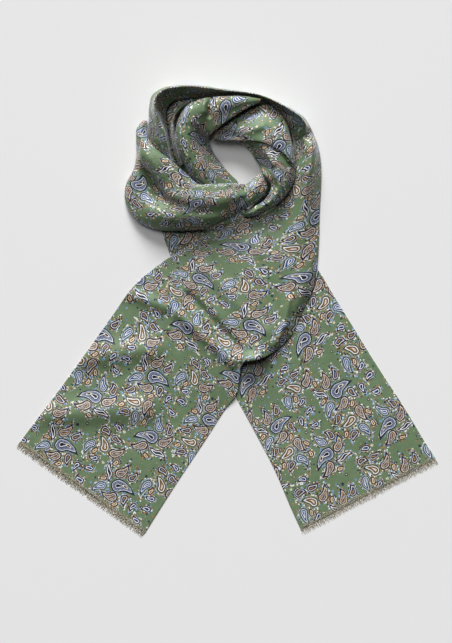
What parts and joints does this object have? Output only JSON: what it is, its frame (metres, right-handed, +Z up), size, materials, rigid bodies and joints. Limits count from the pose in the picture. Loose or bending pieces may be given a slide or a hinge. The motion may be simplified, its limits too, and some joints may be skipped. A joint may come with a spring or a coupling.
{
  "type": "paisley scarf",
  "caption": "Long printed silk scarf wound twice round an open neck loop and laid flat, its two fringed ends crossing and spreading below.",
  "frame": {"origin": "middle of the part's box, on the surface that it lies on", "axes": "+Z up from the surface, +Y from the fringed ends towards the neck loop, +X to the right seen from above"},
  "size_m": [0.6522, 0.6998, 0.0578],
  "materials": {
    "silk": "printed silk twill with a soft sheen",
    "yarn": "loose silk threads"
  },
  "bodies": {
    "root": {"left_tail": "silk", "right_tail": "silk", "front_band": "silk", "lower_turn": "silk", "middle_turn": "silk", "inner_turn": "silk", "outer_turn": "silk", "standing_fold": "silk", "hidden_layers": "silk", "left_fringe": "yarn", "right_fringe": "yarn"}
  },
  "joints": []
}
